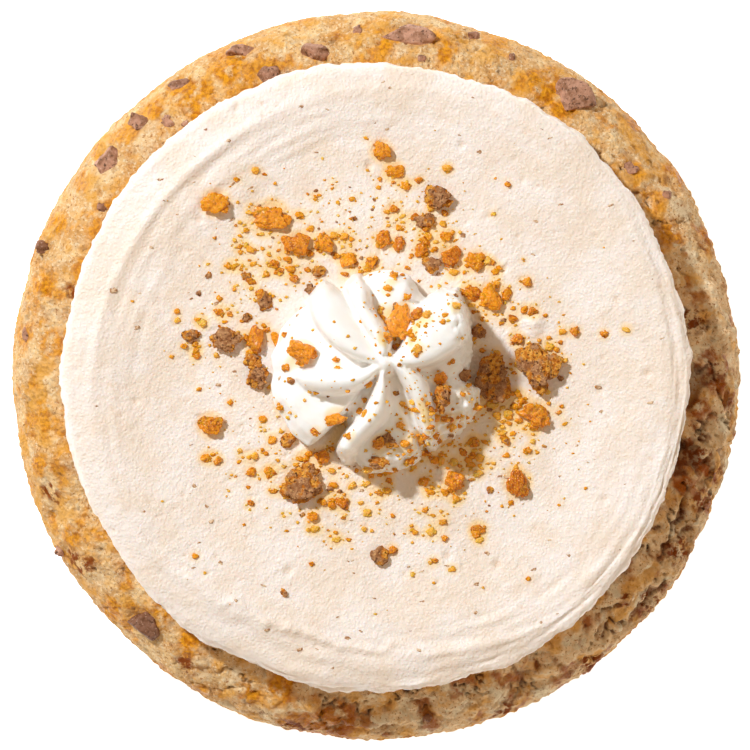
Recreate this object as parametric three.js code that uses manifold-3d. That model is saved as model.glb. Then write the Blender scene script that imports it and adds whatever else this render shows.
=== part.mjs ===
// A round peanut butter cookie, seen from above in its frame as it lies: +Z is up, the origin is
// the centre of its flat base, and every size is in millimetres. The baked cookie carries a thick
// disc of spread frosting with a raised, bevelled lip, a piped whipped-cream rosette in its middle,
// and broken toffee and biscuit crumbs. Pieces of chocolate are baked into the cookie's rim.

import * as THREE from 'three';
import { ImprovedNoise } from 'three/addons/math/ImprovedNoise.js';
import { mergeVertices } from 'three/addons/utils/BufferGeometryUtils.js';
import Module from 'manifold-3d';

const solids = await Module();
solids.setup();

// ---------------------------------------------------------------- driving dimensions

const COOKIE_RADIUS = 57.3;
const COOKIE_HEIGHT = 17; // up to the flat seat under the frosting
const FROSTING_RADIUS = 48.4;
const FROSTING_HEIGHT = 10; // from the seat to the top of the lip
const DISH_DEPTH = 1.7; // how far the middle of the frosting lies below its lip
const DISH_SLOPE = 17; // how far in from the lip the dish reaches its depth
const ROSETTE_HEIGHT = 14; // above the middle of the frosting
const GAP = 0.3; // left between neighbouring pieces

const ROUND_STEPS = 60; // facets round the cookie and the frosting
const TURN = Math.PI * 2;
const FROSTING_FLOOR = COOKIE_HEIGHT + GAP;
const FROSTING_LIP = COOKIE_HEIGHT + FROSTING_HEIGHT;
const FROSTING_MIDDLE = FROSTING_LIP - DISH_DEPTH;

// ---------------------------------------------------------------- small helpers

const noise = new ImprovedNoise();

// A smooth wobble between about -1 and 1 that repeats after a full turn.
function wobble(angle, waves, seed) {
  return noise.noise(Math.cos(angle) * waves, Math.sin(angle) * waves, seed) * 2;
}

// 1 at the given angle, falling smoothly to 0 a spread away from it. Angles are in degrees.
function near(angle, centre, spread) {
  const off = THREE.MathUtils.euclideanModulo(THREE.MathUtils.radToDeg(angle) - centre + 180, 360) - 180;
  return Math.exp(-((off / spread) ** 2));
}

// Random numbers from 0 to 1 that are the same every time for the same seed.
function randomFrom(seed) {
  let state = seed;
  return () => {
    state = (Math.imul(state, 1664525) + 1013904223) >>> 0;
    return state / 2 ** 32;
  };
}

// One closed skin: shared corners are joined and triangles with no area are dropped.
function closed(geometry) {
  geometry.deleteAttribute('normal');
  geometry.deleteAttribute('uv');
  const skin = mergeVertices(geometry);
  const corners = skin.index.array;
  const kept = [];
  for (let i = 0; i < corners.length; i += 3) {
    const [a, b, c] = [corners[i], corners[i + 1], corners[i + 2]];
    if (a !== b && b !== c && c !== a) kept.push(a, b, c);
  }
  skin.setIndex(kept);
  return skin;
}

function asSolid(geometry) {
  return new solids.Manifold(new solids.Mesh({
    numProp: 3,
    vertProperties: new Float32Array(geometry.attributes.position.array),
    triVerts: new Uint32Array(geometry.index.array),
  }));
}

function asGeometry(solid) {
  const { vertProperties, triVerts } = solid.getMesh();
  const geometry = new THREE.BufferGeometry();
  geometry.setAttribute('position', new THREE.BufferAttribute(new Float32Array(vertProperties), 3));
  geometry.setIndex(new THREE.BufferAttribute(new Uint32Array(triVerts), 1));
  return geometry;
}

// A closed body made of sections set round its middle: sectionAt(step) gives the places [x, y, z]
// from the middle of the underside, round the edge, to the middle of the top.
function roundBody(steps, sectionAt) {
  const first = sectionAt(0).map(([x, , z]) => new THREE.Vector2(x, z));
  const body = new THREE.LatheGeometry(first, steps);
  const places = body.attributes.position;
  for (let step = 0; step <= steps; step += 1) {
    sectionAt(step % steps).forEach((place, ring) => {
      places.setXYZ(step * first.length + ring, ...place);
    });
  }
  return closed(body);
}

// A turned body whose section changes as it goes round: sectionAt(angle) gives [radius, height].
function turned(sectionAt) {
  return roundBody(ROUND_STEPS, (step) => {
    const angle = step / ROUND_STEPS * TURN;
    return sectionAt(angle).map(([radius, height]) => (
      [radius * Math.cos(angle), radius * Math.sin(angle), height]
    ));
  });
}

// A broken lump: a ball cut back to flat faces that point every way, roughened, and brought to size.
const FINE_FROM = 4.5; // a lump at least this long gets the finer facets
function lump({ size, seed, faces, deepest, roughness }) {
  const random = randomFrom(seed);
  const cuts = Array.from({ length: faces }, () => ({
    facing: new THREE.Vector3().setFromSphericalCoords(1, Math.acos(2 * random() - 1), random() * TURN),
    depth: deepest + 0.22 * random(),
  }));
  const stone = closed(new THREE.IcosahedronGeometry(1, Math.max(...size) < FINE_FROM ? 1 : 2));
  const places = stone.attributes.position;
  const direction = new THREE.Vector3();
  for (let i = 0; i < places.count; i += 1) {
    direction.fromBufferAttribute(places, i).normalize();
    const reach = Math.min(1, ...cuts.map(({ facing, depth }) => {
      const slant = facing.dot(direction);
      return slant > 0.1 ? depth / slant : 1;
    }));
    const rough = noise.noise(direction.x * 2.2 + seed, direction.y * 2.2, direction.z * 2.2);
    direction.multiplyScalar(reach * (1 - roughness * (0.5 - 0.5 * rough)));
    places.setXYZ(i, direction.x, direction.y, direction.z);
  }
  stone.center();
  const extent = stone.boundingBox.getSize(new THREE.Vector3());
  return stone.scale(size[0] / extent.x, size[1] / extent.y, size[2] / extent.z);
}

// The uppermost surface of some solids at a place seen from above: its point and its direction.
const lookDown = new THREE.Vector3(0, 0, -1);
const HIGH_ABOVE = 100;
function surfaceAt(geometries, x, y) {
  const ray = new THREE.Raycaster(new THREE.Vector3(x, y, HIGH_ABOVE), lookDown);
  const hits = geometries.flatMap((geometry) => ray.intersectObject(new THREE.Mesh(geometry)));
  const top = hits.reduce((best, hit) => (hit.distance < best.distance ? hit : best));
  return { point: top.point, facing: top.face.normal };
}

function piece(name, geometry, look) {
  const mesh = new THREE.Mesh(geometry, new THREE.MeshStandardMaterial(look));
  mesh.name = name;
  return mesh;
}

// ---------------------------------------------------------------- the baked cookie

// Small nicks in the outline: where, how deep, and how wide in degrees.
const NICKS = [
  { at: 40, depth: 0.7, spread: 3 },
  { at: 8, depth: 0.5, spread: 9 },
  { at: 72, depth: 0.4, spread: 6 },
  { at: 166, depth: 0.5, spread: 4 },
  { at: 300, depth: 0.4, spread: 5 },
  { at: 338, depth: 0.4, spread: 6 },
];

// The section from the middle of the base to the middle of the seat, as shares of the cookie's
// radius and height, with how much of the dough's unevenness shows at each place.
const COOKIE_SECTION = [
  { out: 0, up: 0, uneven: 0 },
  { out: 0.925, up: 0, uneven: 0 },
  { out: 0.965, up: 0.05, uneven: 0.2 },
  { out: 0.992, up: 0.2, uneven: 0.6 },
  { out: 1, up: 0.42, uneven: 0.8 },
  { out: 0.985, up: 0.62, uneven: 1 },
  { out: 0.955, up: 0.8, uneven: 1 },
  { out: 0.915, up: 0.93, uneven: 0.9 },
  { out: 0.87, up: 1, uneven: 0.5 },
  { out: 0.82, up: 1, uneven: 0 },
  { out: 0, up: 1, uneven: 0 },
];

const SIDE_LUMPS = 0.35;
const TOP_LUMPS = 1;

function cookieSection(angle) {
  const nicked = NICKS.reduce((sum, nick) => sum + nick.depth * near(angle, nick.at, nick.spread), 0);
  const radius = COOKIE_RADIUS + 0.25 * wobble(angle, 3, 5) - nicked;
  const craggy = 0.45 + 0.75 * near(angle, 335, 60); // the right and lower right are the most broken
  return COOKIE_SECTION.map(({ out, up, uneven }, ring) => {
    const lumpy = craggy * uneven * wobble(angle, 9, 20 + ring * 0.9);
    return [out * radius + SIDE_LUMPS * lumpy, up * COOKIE_HEIGHT + TOP_LUMPS * lumpy];
  });
}

const CHOCOLATE = { color: 0x8a6650, roughness: 0.75, metalness: 0 };
const CHOCOLATE_SHOWING = 0.3; // the share of a piece's height that stands out of the dough

// Chocolate pieces in the rim: place seen from above, and size along x, y and z.
const CHOCOLATE_PIECES = [
  { at: [5.2, 53.2], size: [8.2, 4.6, 3.8] },
  { at: [31.0, 44.2], size: [7.0, 5.4, 4.2] },
  { at: [-41.9, 33.4], size: [4.9, 5.5, 4.0] },
  { at: [-9.4, 50.4], size: [4.5, 3.2, 3.0] },
  { at: [-16.8, 46.6], size: [3.6, 3.4, 2.8] },
  { at: [-37.2, 39.6], size: [3.3, 3.3, 2.6] },
  { at: [-30.6, 45.9], size: [4.3, 2.2, 2.8] },
  { at: [-21.0, 51.0], size: [5.2, 2.6, 2.8] },
  { at: [-36.6, -38.8], size: [5.0, 5.6, 4.0] },
];

const cookieBlank = turned(cookieSection);

function chocolatePieces() {
  return CHOCOLATE_PIECES.map(({ at: [x, y], size }, i) => {
    const { point, facing } = surfaceAt([cookieBlank], x, y);
    const middle = point.addScaledVector(facing, size[2] * (CHOCOLATE_SHOWING - 0.5));
    const shape = lump({ size, seed: 31 + i * 7, faces: 9, deepest: 0.55, roughness: 0.08 });
    const room = shape.clone().scale(...size.map((length) => 1 + 2 * GAP / length));
    return {
      name: `chocolate_piece_${i + 1}`,
      geometry: shape.translate(...middle),
      pocket: room.translate(...middle),
    };
  });
}

const chocolate = chocolatePieces();
const cookie = chocolate.reduce(
  (dough, { pocket }) => dough.subtract(asSolid(pocket)),
  asSolid(cookieBlank),
);

// ---------------------------------------------------------------- the frosting

// The edge is an upright wall, a tight shoulder, and a gentle slope up to the lip.
const WALL_LEAN = 0.3; // how far the wall leans in over its height
const SHOULDER = 1.5; // the shoulder's radius
const EDGE_SLOPE = THREE.MathUtils.degToRad(13);

// How far the slope reaches in: broad at the upper left and along the bottom, and narrow at the
// lower right, where the spatula ended.
function slopeWidth(angle) {
  return 3.0 + 2.6 * near(angle, 140, 55) + 3.7 * near(angle, 255, 38) - 1.0 * near(angle, 318, 30);
}

function frostingSection(angle) {
  const edge = FROSTING_RADIUS + 0.28 * wobble(angle, 4, 41);
  const bevel = slopeWidth(angle);
  const lip = FROSTING_LIP + 0.35 * wobble(angle, 2.2, 47) - 0.3 * near(angle, 255, 40);
  const slopeFrom = edge - WALL_LEAN - SHOULDER * (1 - Math.sin(EDGE_SLOPE));
  const slopeRise = (slopeFrom - edge + bevel) * Math.tan(EDGE_SLOPE);
  const wallTop = lip - slopeRise - SHOULDER * Math.cos(EDGE_SLOPE);
  const section = [
    [0, FROSTING_FLOOR],
    [edge - 0.9, FROSTING_FLOOR],
    [edge, FROSTING_FLOOR + 1.3],
    [edge - WALL_LEAN, wallTop],
  ];
  for (const turn of [0.35, 0.7, 1]) {
    const rounded = turn * (Math.PI / 2 - EDGE_SLOPE);
    section.push([
      edge - WALL_LEAN - SHOULDER * (1 - Math.cos(rounded)),
      wallTop + SHOULDER * Math.sin(rounded),
    ]);
  }
  section.push([edge - bevel, lip]);
  for (const inwards of [0.25, 0.5, 0.75, 1]) {
    const sunk = THREE.MathUtils.smoothstep(inwards, 0, 1);
    const height = THREE.MathUtils.lerp(lip, FROSTING_MIDDLE, sunk);
    section.push([edge - bevel - DISH_SLOPE * inwards, height]);
  }
  section.push([0, FROSTING_MIDDLE]);
  return section;
}

const frosting = turned(frostingSection);

// ---------------------------------------------------------------- the piped rosette

// The six petals that the star tip left on top. Seen from above, each has a left and a right edge
// that run from the middle to its tip. crest holds its heights above the middle of the frosting on
// the way, crestAt says where between the edges the crest lies (-1 left, 1 right), and fall says how
// far the edges lie below it.
const PETALS = [
  {
    left: [[0.0, 1.6], [-4.6, 3.6], [-7.6, 6.0], [-9.4, 9.4], [-9.3, 12.0], [-7.8, 14.2]],
    right: [[1.0, 3.6], [-1.2, 6.0], [-3.2, 9.0], [-5.0, 11.6], [-6.4, 13.2], [-7.6, 14.3]],
    crest: [13.0, 13.4, 13.0, 12.2, 11.0, 9.4],
    crestAt: -0.45,
    fall: 2.6,
  },
  {
    left: [[0.6, 3.0], [-0.4, 5.2], [-2.2, 8.0], [-3.5, 11.0], [-4.1, 13.2], [-3.3, 14.9]],
    right: [[2.2, 3.4], [2.4, 5.6], [1.2, 8.0], [-0.4, 10.4], [-0.9, 13.0], [-2.2, 15.1]],
    crest: [13.4, 13.6, 13.2, 12.2, 11.0, 9.6],
    crestAt: -0.15,
    fall: 2.2,
  },
  {
    left: [[2.2, 2.8], [4.0, 4.8], [5.2, 7.6], [7.4, 10.4], [10.0, 12.3], [12.0, 13.0]],
    right: [[3.0, 1.5], [6.6, 1.4], [10.2, 2.8], [13.0, 5.4], [13.4, 9.2], [12.3, 12.8]],
    crest: [13.0, 13.6, 13.8, 13.4, 12.6, 11.2],
    crestAt: 0.3,
    fall: 1.5,
  },
  {
    left: [[2.4, 2.6], [5.2, 1.4], [7.6, -0.6], [8.6, -3.4], [9.0, -7.0], [9.4, -10.6]],
    right: [[1.8, 2.2], [3.2, 0.2], [4.6, -2.4], [5.8, -5.4], [7.0, -8.6], [8.2, -11.3]],
    crest: [13.0, 13.2, 12.8, 11.8, 10.4, 8.6],
    crestAt: 0,
    fall: 1.9,
  },
  {
    left: [[1.8, 0.4], [2.3, -3.4], [1.8, -6.4], [-0.4, -8.9], [-2.4, -11.0], [-3.2, -13.0]],
    right: [[0.6, 0.6], [-0.6, -2.8], [-2.0, -5.8], [-4.0, -8.0], [-5.5, -10.8], [-4.8, -13.0]],
    crest: [12.8, 13.0, 12.6, 11.6, 10.0, 8.2],
    crestAt: 0.1,
    fall: 2.2,
  },
  {
    left: [[0.8, 0.6], [-1.4, -1.6], [-4.4, -2.8], [-7.8, -2.9], [-10.8, -2.0], [-12.7, -0.3]],
    right: [[0.4, 2.0], [-2.6, 0.9], [-5.6, 0.95], [-8.6, 1.2], [-11.0, 0.9], [-12.8, 0.1]],
    crest: [12.8, 13.2, 12.8, 12.0, 10.8, 9.2],
    crestAt: 0.1,
    fall: 2.2,
  },
];
const PETAL_FACETS = { along: 8, across: 4 };
const PETAL_TIP_DROP = 2; // how far the crest falls at the very tip
const FOOT = -0.8; // how far the cream reaches down before it is cut back to the frosting

// The outline of the broad lobes under the petals, and their section: the share of the way out
// from the heart, and the height.
const HEART = { x: 0.8, y: 1.4 };
const LOBE_OUTLINE = [
  [13.6, 8.4], [11.6, 9.4], [8.4, 10.6], [6.6, 13.0], [5.1, 15.5], [2.7, 16.2], [-0.5, 15.9],
  [-2.6, 14.6], [-4.0, 12.4], [-6.0, 12.0], [-9.2, 11.0], [-11.2, 10.4], [-13.1, 8.7], [-14.6, 7.0],
  [-15.1, 4.8], [-16.0, 3.0], [-15.6, 0.6], [-16.0, -1.6], [-15.6, -4.2], [-14.1, -6.6],
  [-12.9, -8.8], [-10.2, -10.9], [-8.5, -9.6], [-5.8, -7.1], [-4.4, -6.0], [-3.8, -9.0],
  [-2.8, -13.4], [-1.2, -14.9], [1.7, -14.7], [5.1, -13.9], [6.7, -12.9], [7.2, -10.4], [9.6, -10.0],
  [12.2, -9.2], [14.6, -6.6], [15.9, -4.2], [15.8, -2.0], [14.4, -1.3], [13.4, -0.2], [14.5, 2.1],
  [14.6, 6.0],
];
const LOBE_SECTION = [[0, FOOT], [1, FOOT], [1, 4.4], [0.95, 6.0], [0.8, 7.2], [0.5, 8.2], [0, 8.6]];

// A ball of cream where the petals meet.
const MEETING = { middle: [1.3, 2.0, 8.2], halfWidth: 2.4, halfHeight: 4.9 };

function petal({ left, right, crest, crestAt, fall }) {
  const [leftEdge, rightEdge] = [left, right].map((edge) => (
    new THREE.CatmullRomCurve3(edge.map(([x, y], i) => new THREE.Vector3(x, y, crest[i])))
  ));
  const shell = new THREE.BoxGeometry(1, 1, 1, PETAL_FACETS.along, PETAL_FACETS.across, 1);
  const places = shell.attributes.position;
  for (let i = 0; i < places.count; i += 1) {
    const along = places.getX(i) + 0.5;
    const across = -2 * places.getY(i);
    const place = leftEdge.getPoint(along).lerp(rightEdge.getPoint(along), (across + 1) / 2);
    const lean = (across - crestAt) / (1 + Math.abs(crestAt));
    const tip = THREE.MathUtils.smoothstep(along, 0.8, 1);
    const top = place.z - fall * lean ** 2 - 0.9 * across ** 6 - PETAL_TIP_DROP * tip;
    places.setXYZ(i, place.x, place.y, places.getZ(i) > 0 ? top : FOOT);
  }
  return asSolid(closed(shell));
}

function rosetteSolid() {
  const lobes = roundBody(LOBE_OUTLINE.length, (step) => {
    const [x, y] = LOBE_OUTLINE[step];
    return LOBE_SECTION.map(([out, height]) => (
      [HEART.x + (x - HEART.x) * out, HEART.y + (y - HEART.y) * out, height]
    ));
  });
  const meeting = closed(new THREE.SphereGeometry(1, 12, 8).rotateX(Math.PI / 2))
    .scale(MEETING.halfWidth, MEETING.halfWidth, MEETING.halfHeight)
    .translate(...MEETING.middle);
  const petals = PETALS.map(petal);
  const piped = [asSolid(meeting), ...petals].reduce((body, more) => body.add(more), asSolid(lobes));
  const shape = asGeometry(piped);
  shape.computeBoundingBox();
  const stretch = ROSETTE_HEIGHT / shape.boundingBox.max.z;
  return asSolid(shape.scale(1, 1, stretch).translate(0, 0, FROSTING_MIDDLE));
}

// What rests on another piece is cut back by copies of it that are moved a gap each way.
const UPWARDS = [[0, 0, GAP]];
const UPWARDS_AND_SIDEWAYS = [...UPWARDS, [GAP, 0, 0], [-GAP, 0, 0], [0, GAP, 0], [0, -GAP, 0]];
function roomFor(geometry, moves) {
  return moves.map((move) => asSolid(geometry.clone().translate(...move)));
}
function cutBack(solid, rooms) {
  return rooms.reduce((left, room) => left.subtract(room), solid);
}

const frostingRoom = roomFor(frosting, UPWARDS);
const rosette = asGeometry(cutBack(rosetteSolid(), frostingRoom));
const rosetteRoom = roomFor(rosette, UPWARDS_AND_SIDEWAYS);

// ---------------------------------------------------------------- the large crumbs

const TOFFEE = { color: 0xd8861a, roughness: 0.35, metalness: 0 };
const BISCUIT = { color: 0x9c6232, roughness: 0.9, metalness: 0 };
const CRUMB_SUNK = 0.3; // the share of a crumb's height that is pressed into what it lies on

// Large crumbs: place seen from above, and size along x, y and z. They broke flat and lie low.
const TOFFEE_CRUMBS = [
  { at: [-11.0, 3.4], size: [5.2, 4.2, 2.4] },
  { at: [3.6, 8.4], size: [4.2, 5.4, 2.6] },
  { at: [24.1, -6.1], size: [5.6, 3.8, 2.4] },
  { at: [21.8, -16.5], size: [3.6, 4.5, 2.2] },
  { at: [-16.0, 24.2], size: [6.4, 3.7, 2.2] },
  { at: [-24.7, 26.5], size: [4.4, 3.3, 2.2] },
  { at: [-25.4, -7.6], size: [4.1, 3.0, 2.0] },
  { at: [-12.3, 20.1], size: [4.6, 3.8, 2.0] },
  { at: [17.7, 12.2], size: [3.5, 4.4, 2.2] },
];
const BISCUIT_CRUMBS = [
  { at: [25.1, 1.0], size: [7.6, 8.2, 3.8] },
  { at: [-11.4, -16.5], size: [6.9, 6.6, 3.8] },
  { at: [17.9, -0.3], size: [6.0, 7.8, 3.8] },
  { at: [-22.9, 5.5], size: [5.4, 4.1, 2.6] },
  { at: [9.7, 27.4], size: [4.6, 4.0, 2.6] },
  { at: [-18.1, 0.2], size: [3.7, 4.8, 2.6] },
  { at: [9.9, -3.6], size: [3.2, 4.6, 2.6] },
];

function crumbPieces(crumbs, kind, look, character) {
  return crumbs.map(({ at: [x, y], size }, i) => {
    const { point } = surfaceAt([frosting, rosette], x, y);
    const shape = lump({ size, seed: character.seed + i * 11, ...character.shape });
    shape.translate(x, y, point.z + size[2] * (0.5 - CRUMB_SUNK));
    const resting = cutBack(asSolid(shape), [...frostingRoom, ...rosetteRoom]);
    return piece(`${kind}_crumb_${i + 1}`, asGeometry(resting), look);
  });
}

// ---------------------------------------------------------------- the whole cookie

const whole = new THREE.Group();
whole.add(piece('cookie', asGeometry(cookie), { color: 0xd9a566, roughness: 0.9, metalness: 0 }));
whole.add(...chocolate.map(({ name, geometry }) => piece(name, geometry, CHOCOLATE)));
whole.add(piece('frosting', frosting, { color: 0xf4e1cd, roughness: 0.7, metalness: 0 }));
whole.add(piece('rosette', rosette, { color: 0xfbf6ee, roughness: 0.4, metalness: 0 }));
whole.add(...crumbPieces(TOFFEE_CRUMBS, 'toffee', TOFFEE, {
  seed: 101, shape: { faces: 9, deepest: 0.66, roughness: 0.2 },
}));
whole.add(...crumbPieces(BISCUIT_CRUMBS, 'biscuit', BISCUIT, {
  seed: 211, shape: { faces: 7, deepest: 0.68, roughness: 0.4 },
}));

export default whole;
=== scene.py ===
# %% [markdown]
# # A frosted peanut butter cookie
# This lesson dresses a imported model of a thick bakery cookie: a baked round with chocolate pieces in
# its rim, a disc of spread frosting, a piped cream rosette, and broken toffee and biscuit crumbs.
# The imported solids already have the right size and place. Each of them is hidden here, and a finely
# modelled piece stands in its place, in the same metres and the same frame.

# %% Load the solids
import math
from itertools import product

import bmesh
import bpy
import numpy as np
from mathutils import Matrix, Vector
from mathutils.bvhtree import BVHTree


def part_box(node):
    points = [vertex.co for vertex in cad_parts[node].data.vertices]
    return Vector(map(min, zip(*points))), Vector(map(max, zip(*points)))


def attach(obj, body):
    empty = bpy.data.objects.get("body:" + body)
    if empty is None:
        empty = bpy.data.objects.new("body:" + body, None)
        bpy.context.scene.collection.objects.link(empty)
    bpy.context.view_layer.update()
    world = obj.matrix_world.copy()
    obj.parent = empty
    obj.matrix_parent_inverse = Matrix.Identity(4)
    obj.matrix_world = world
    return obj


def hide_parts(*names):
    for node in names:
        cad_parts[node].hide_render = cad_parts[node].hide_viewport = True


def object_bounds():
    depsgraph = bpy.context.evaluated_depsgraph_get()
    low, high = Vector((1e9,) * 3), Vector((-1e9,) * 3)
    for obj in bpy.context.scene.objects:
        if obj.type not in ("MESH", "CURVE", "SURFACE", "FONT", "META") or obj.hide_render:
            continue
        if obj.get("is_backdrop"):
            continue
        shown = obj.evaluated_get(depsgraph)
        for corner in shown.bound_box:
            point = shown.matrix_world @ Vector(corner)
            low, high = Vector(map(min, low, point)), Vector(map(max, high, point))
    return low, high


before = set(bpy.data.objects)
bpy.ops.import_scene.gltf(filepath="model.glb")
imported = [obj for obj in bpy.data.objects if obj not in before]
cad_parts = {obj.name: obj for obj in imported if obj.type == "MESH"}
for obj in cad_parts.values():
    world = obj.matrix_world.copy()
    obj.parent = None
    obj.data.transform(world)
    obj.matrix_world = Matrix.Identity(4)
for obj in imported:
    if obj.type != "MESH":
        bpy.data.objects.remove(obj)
cad_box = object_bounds()
print("packed solids:", len(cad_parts))

# %% [markdown]
# ## Units
# Food is easier to think about in millimetres, while Blender's scene is in metres. Every size below
# is written in millimetres, and one factor turns it into metres at the last moment.

# %% Sizes shared by every piece
MM = 0.001
TURN = 2 * math.pi
COOKIE_RADIUS = 57.3
COOKIE_HEIGHT = 17
FROSTING_RADIUS = 48.4
FROSTING_HEIGHT = 10
FROSTING_LIP = COOKIE_HEIGHT + FROSTING_HEIGHT
DISH_DEPTH = 1.7
DISH_SLOPE = 17
FROSTING_MIDDLE = FROSTING_LIP - DISH_DEPTH

# %% [markdown]
# ## Unevenness that can be measured
# Crumb, pits and cracks have to be real geometry, so that they catch light from every side. A
# displacement texture would do, but plain arrays are quicker for a hundred thousand points and give
# the same answer on every run. Two kinds of noise are enough: a smooth one for lumps and dents, and a
# cellular one, which knows the nearest of many scattered seeds, for grains, pits and the clefts
# between clods.

# %% Smooth noise
# Large factors and shifts that give neighbouring places unlike numbers
FOR_EACH_AXIS = np.array([73856093, 19349663, 83492791], np.uint64)
FOR_EACH_SEED = 40503
MIXING = ((15, 2246822519), (13, 3266489917))
LOW_BITS = np.uint64(0xFFFFFFFF)


def scramble(cell, seed):
    """A whole random number for each whole-numbered place."""
    mixed = np.bitwise_xor.reduce(cell.astype(np.uint64) * FOR_EACH_AXIS, axis=1)
    mixed = (mixed ^ np.uint64(seed * FOR_EACH_SEED + 77)) & LOW_BITS
    for shift, factor in MIXING:
        mixed = ((mixed ^ (mixed >> np.uint64(shift))) * np.uint64(factor)) & LOW_BITS
    return (mixed ^ (mixed >> np.uint64(16))).astype(np.int64)


def three_numbers(whole):
    """Three numbers from 0 to 1 out of one whole random number."""
    return np.stack([(whole >> shift & 1023) / 1023 for shift in (0, 10, 20)], axis=1)


def smooth_noise(places, seed):
    """Soft hills and hollows about one unit wide, from about -1 to 1."""
    cell = np.floor(places)
    inside = places - cell
    ease = inside**3 * (inside * (inside * 6 - 15) + 10)
    total = np.zeros(len(places))
    for corner in product((0, 1), repeat=3):
        corner = np.array(corner)
        share = np.prod(np.where(corner == 1, ease, 1 - ease), axis=1)
        lean = three_numbers(scramble((cell + corner).astype(np.int64), seed)) * 2 - 1
        total += share * np.sum(lean * (inside - corner), axis=1)
    return total * 1.6


def layered_noise(places, width, layers, seed):
    """Smooth noise with features of a width in millimetres, and finer layers on top of it."""
    total = np.zeros(len(places))
    for layer in range(layers):
        total += smooth_noise(places / (width / 2**layer), seed + layer) / 2**layer
    return total


# %% Cellular noise
def nearest_seeds(places, spacing, seed):
    """Distances to the nearest two of many seeds, in spacings, and a number that names the nearest."""
    scaled = places / spacing
    home = np.floor(scaled)
    nearest, second = np.full((2, len(places)), np.inf)
    number = np.zeros(len(places))
    for step in product((-1, 0, 1), repeat=3):
        cell = home + np.array(step)
        whole = scramble(cell.astype(np.int64), seed)
        away = np.linalg.norm(scaled - cell - three_numbers(whole), axis=1)
        closer = away < nearest
        second = np.where(closer, nearest, np.minimum(second, away))
        number = np.where(closer, (whole >> 5 & 1023) / 1023, number)
        nearest = np.where(closer, away, nearest)
    return nearest, second, number


def ramp(values, low, high):
    """0 below low, 1 above high, and smooth between them. Low may be the larger number."""
    share = np.clip((values - low) / (high - low), 0, 1)
    return share * share * (3 - 2 * share)


def near(degrees, centre, spread):
    """1 at an angle, falling smoothly to 0 a spread away from it."""
    off = (degrees - centre + 180) % 360 - 180
    return np.exp(-((off / spread) ** 2))


def scattered_pits(places, spacing, seed, outer, inner, share):
    """1 in the pits at a share of many scattered seeds. Outer and inner radius are in spacings."""
    nearest, _, number = nearest_seeds(places, spacing, seed)
    return ramp(nearest, outer, inner) * (number < share)


# %% [markdown]
# ## Turned skins
# The cookie and the frosting are both round, closed skins whose section changes as it goes round.
# A lathe or a screw modifier keeps one section, and sculpting can't be repeated. So the places are
# worked out ring by ring, from the middle of the underside, round the edge, to the middle of the
# top, and joined into quads. The same rings give an even layout for a baked picture: the whole skin
# is spread out flat like a disc, with the middle of the top in its centre.

# %% Rings of places
def full_turn(steps):
    """The angles of one full turn, and the places at those angles on a circle of radius 1."""
    angle = np.arange(steps) / steps * TURN
    return angle, np.stack([np.cos(angle), np.sin(angle), np.zeros(steps)], axis=1)


def spun(out, up, angle):
    """Rings of places, or of directions, from how far out and how far up each of them reaches."""
    coordinates = np.broadcast_arrays(out * np.cos(angle), out * np.sin(angle), up)
    return np.stack(coordinates, axis=2).reshape(-1, 3)


def and_middles(values):
    """Values for the rings of a skin, and 0 for its two middles, which come last."""
    return np.append(values, [0, 0])


def way_along(points):
    """How far each point of a line lies from its start, measured along the line."""
    return np.append(0, np.cumsum(np.linalg.norm(np.diff(points, axis=0), axis=1)))


# %% Build a skin from rings
def new_piece(name, places, faces):
    mesh = bpy.data.meshes.new(name)
    mesh.from_pydata((places * MM).tolist(), [], faces)
    mesh.validate()
    piece = bpy.data.objects.new(name, mesh)
    bpy.context.scene.collection.objects.link(piece)
    mesh.polygons.foreach_set("use_smooth", np.ones(len(mesh.polygons), bool))
    return piece


def ring_faces(rings, steps):
    """Quads between rings, and a fan to each of the two middles, which come last."""
    under, top = rings * steps, rings * steps + 1
    round_it = [(i, (i + 1) % steps) for i in range(steps)]
    faces = [(under, b, a) for a, b in round_it]
    for low in range(0, under - steps, steps):
        high = low + steps
        faces += [(low + a, low + b, high + b, high + a) for a, b in round_it]
    last = under - steps
    faces += [(last + a, last + b, top) for a, b in round_it]
    return faces


DISC_RADIUS = 0.48
JUST_OUTSIDE = 1.03


def lay_out_as_disc(piece, rings, steps, reach):
    """A flat layout for baking. reach says how far from the disc's centre each ring lies, from 1 to 0."""
    circle = full_turn(steps)[1][:, :2]
    flat = (reach[:, None, None] * circle).reshape(-1, 2)
    layer = piece.data.uv_layers.new(name="OFBake")
    corner = np.zeros(len(piece.data.loops), np.int32)
    piece.data.loops.foreach_get("vertex_index", corner)
    under, top = rings * steps, rings * steps + 1
    uv = np.zeros((len(corner), 2))
    uv[corner < under] = flat[corner[corner < under]]
    for at in np.flatnonzero(corner == under):
        uv[at] = JUST_OUTSIDE * circle[corner[at + 1] % steps]
    uv[corner == top] = 0
    layer.data.foreach_set("uv", (0.5 + DISC_RADIUS * uv).ravel())


def even_path(points, spacing, rounding):
    """Points a spacing apart along a section of straight runs, with its corners rounded off."""
    points = np.array(points, float)
    walked = way_along(points)
    stops = np.linspace(0, walked[-1], int(walked[-1] / spacing) + 1)
    path = np.stack([np.interp(stops, walked, points[:, k]) for k in (0, 1)], axis=1)
    kernel = np.hanning(2 * int(rounding / spacing) + 3)
    kernel /= kernel.sum()
    padded = np.pad(path, ((len(kernel) // 2,) * 2, (0, 0)), mode="edge")
    smooth = np.stack([np.convolve(padded[:, k], kernel, mode="valid") for k in (0, 1)], axis=1)
    smooth[0], smooth[-1] = path[0], path[-1]
    return smooth
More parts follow.
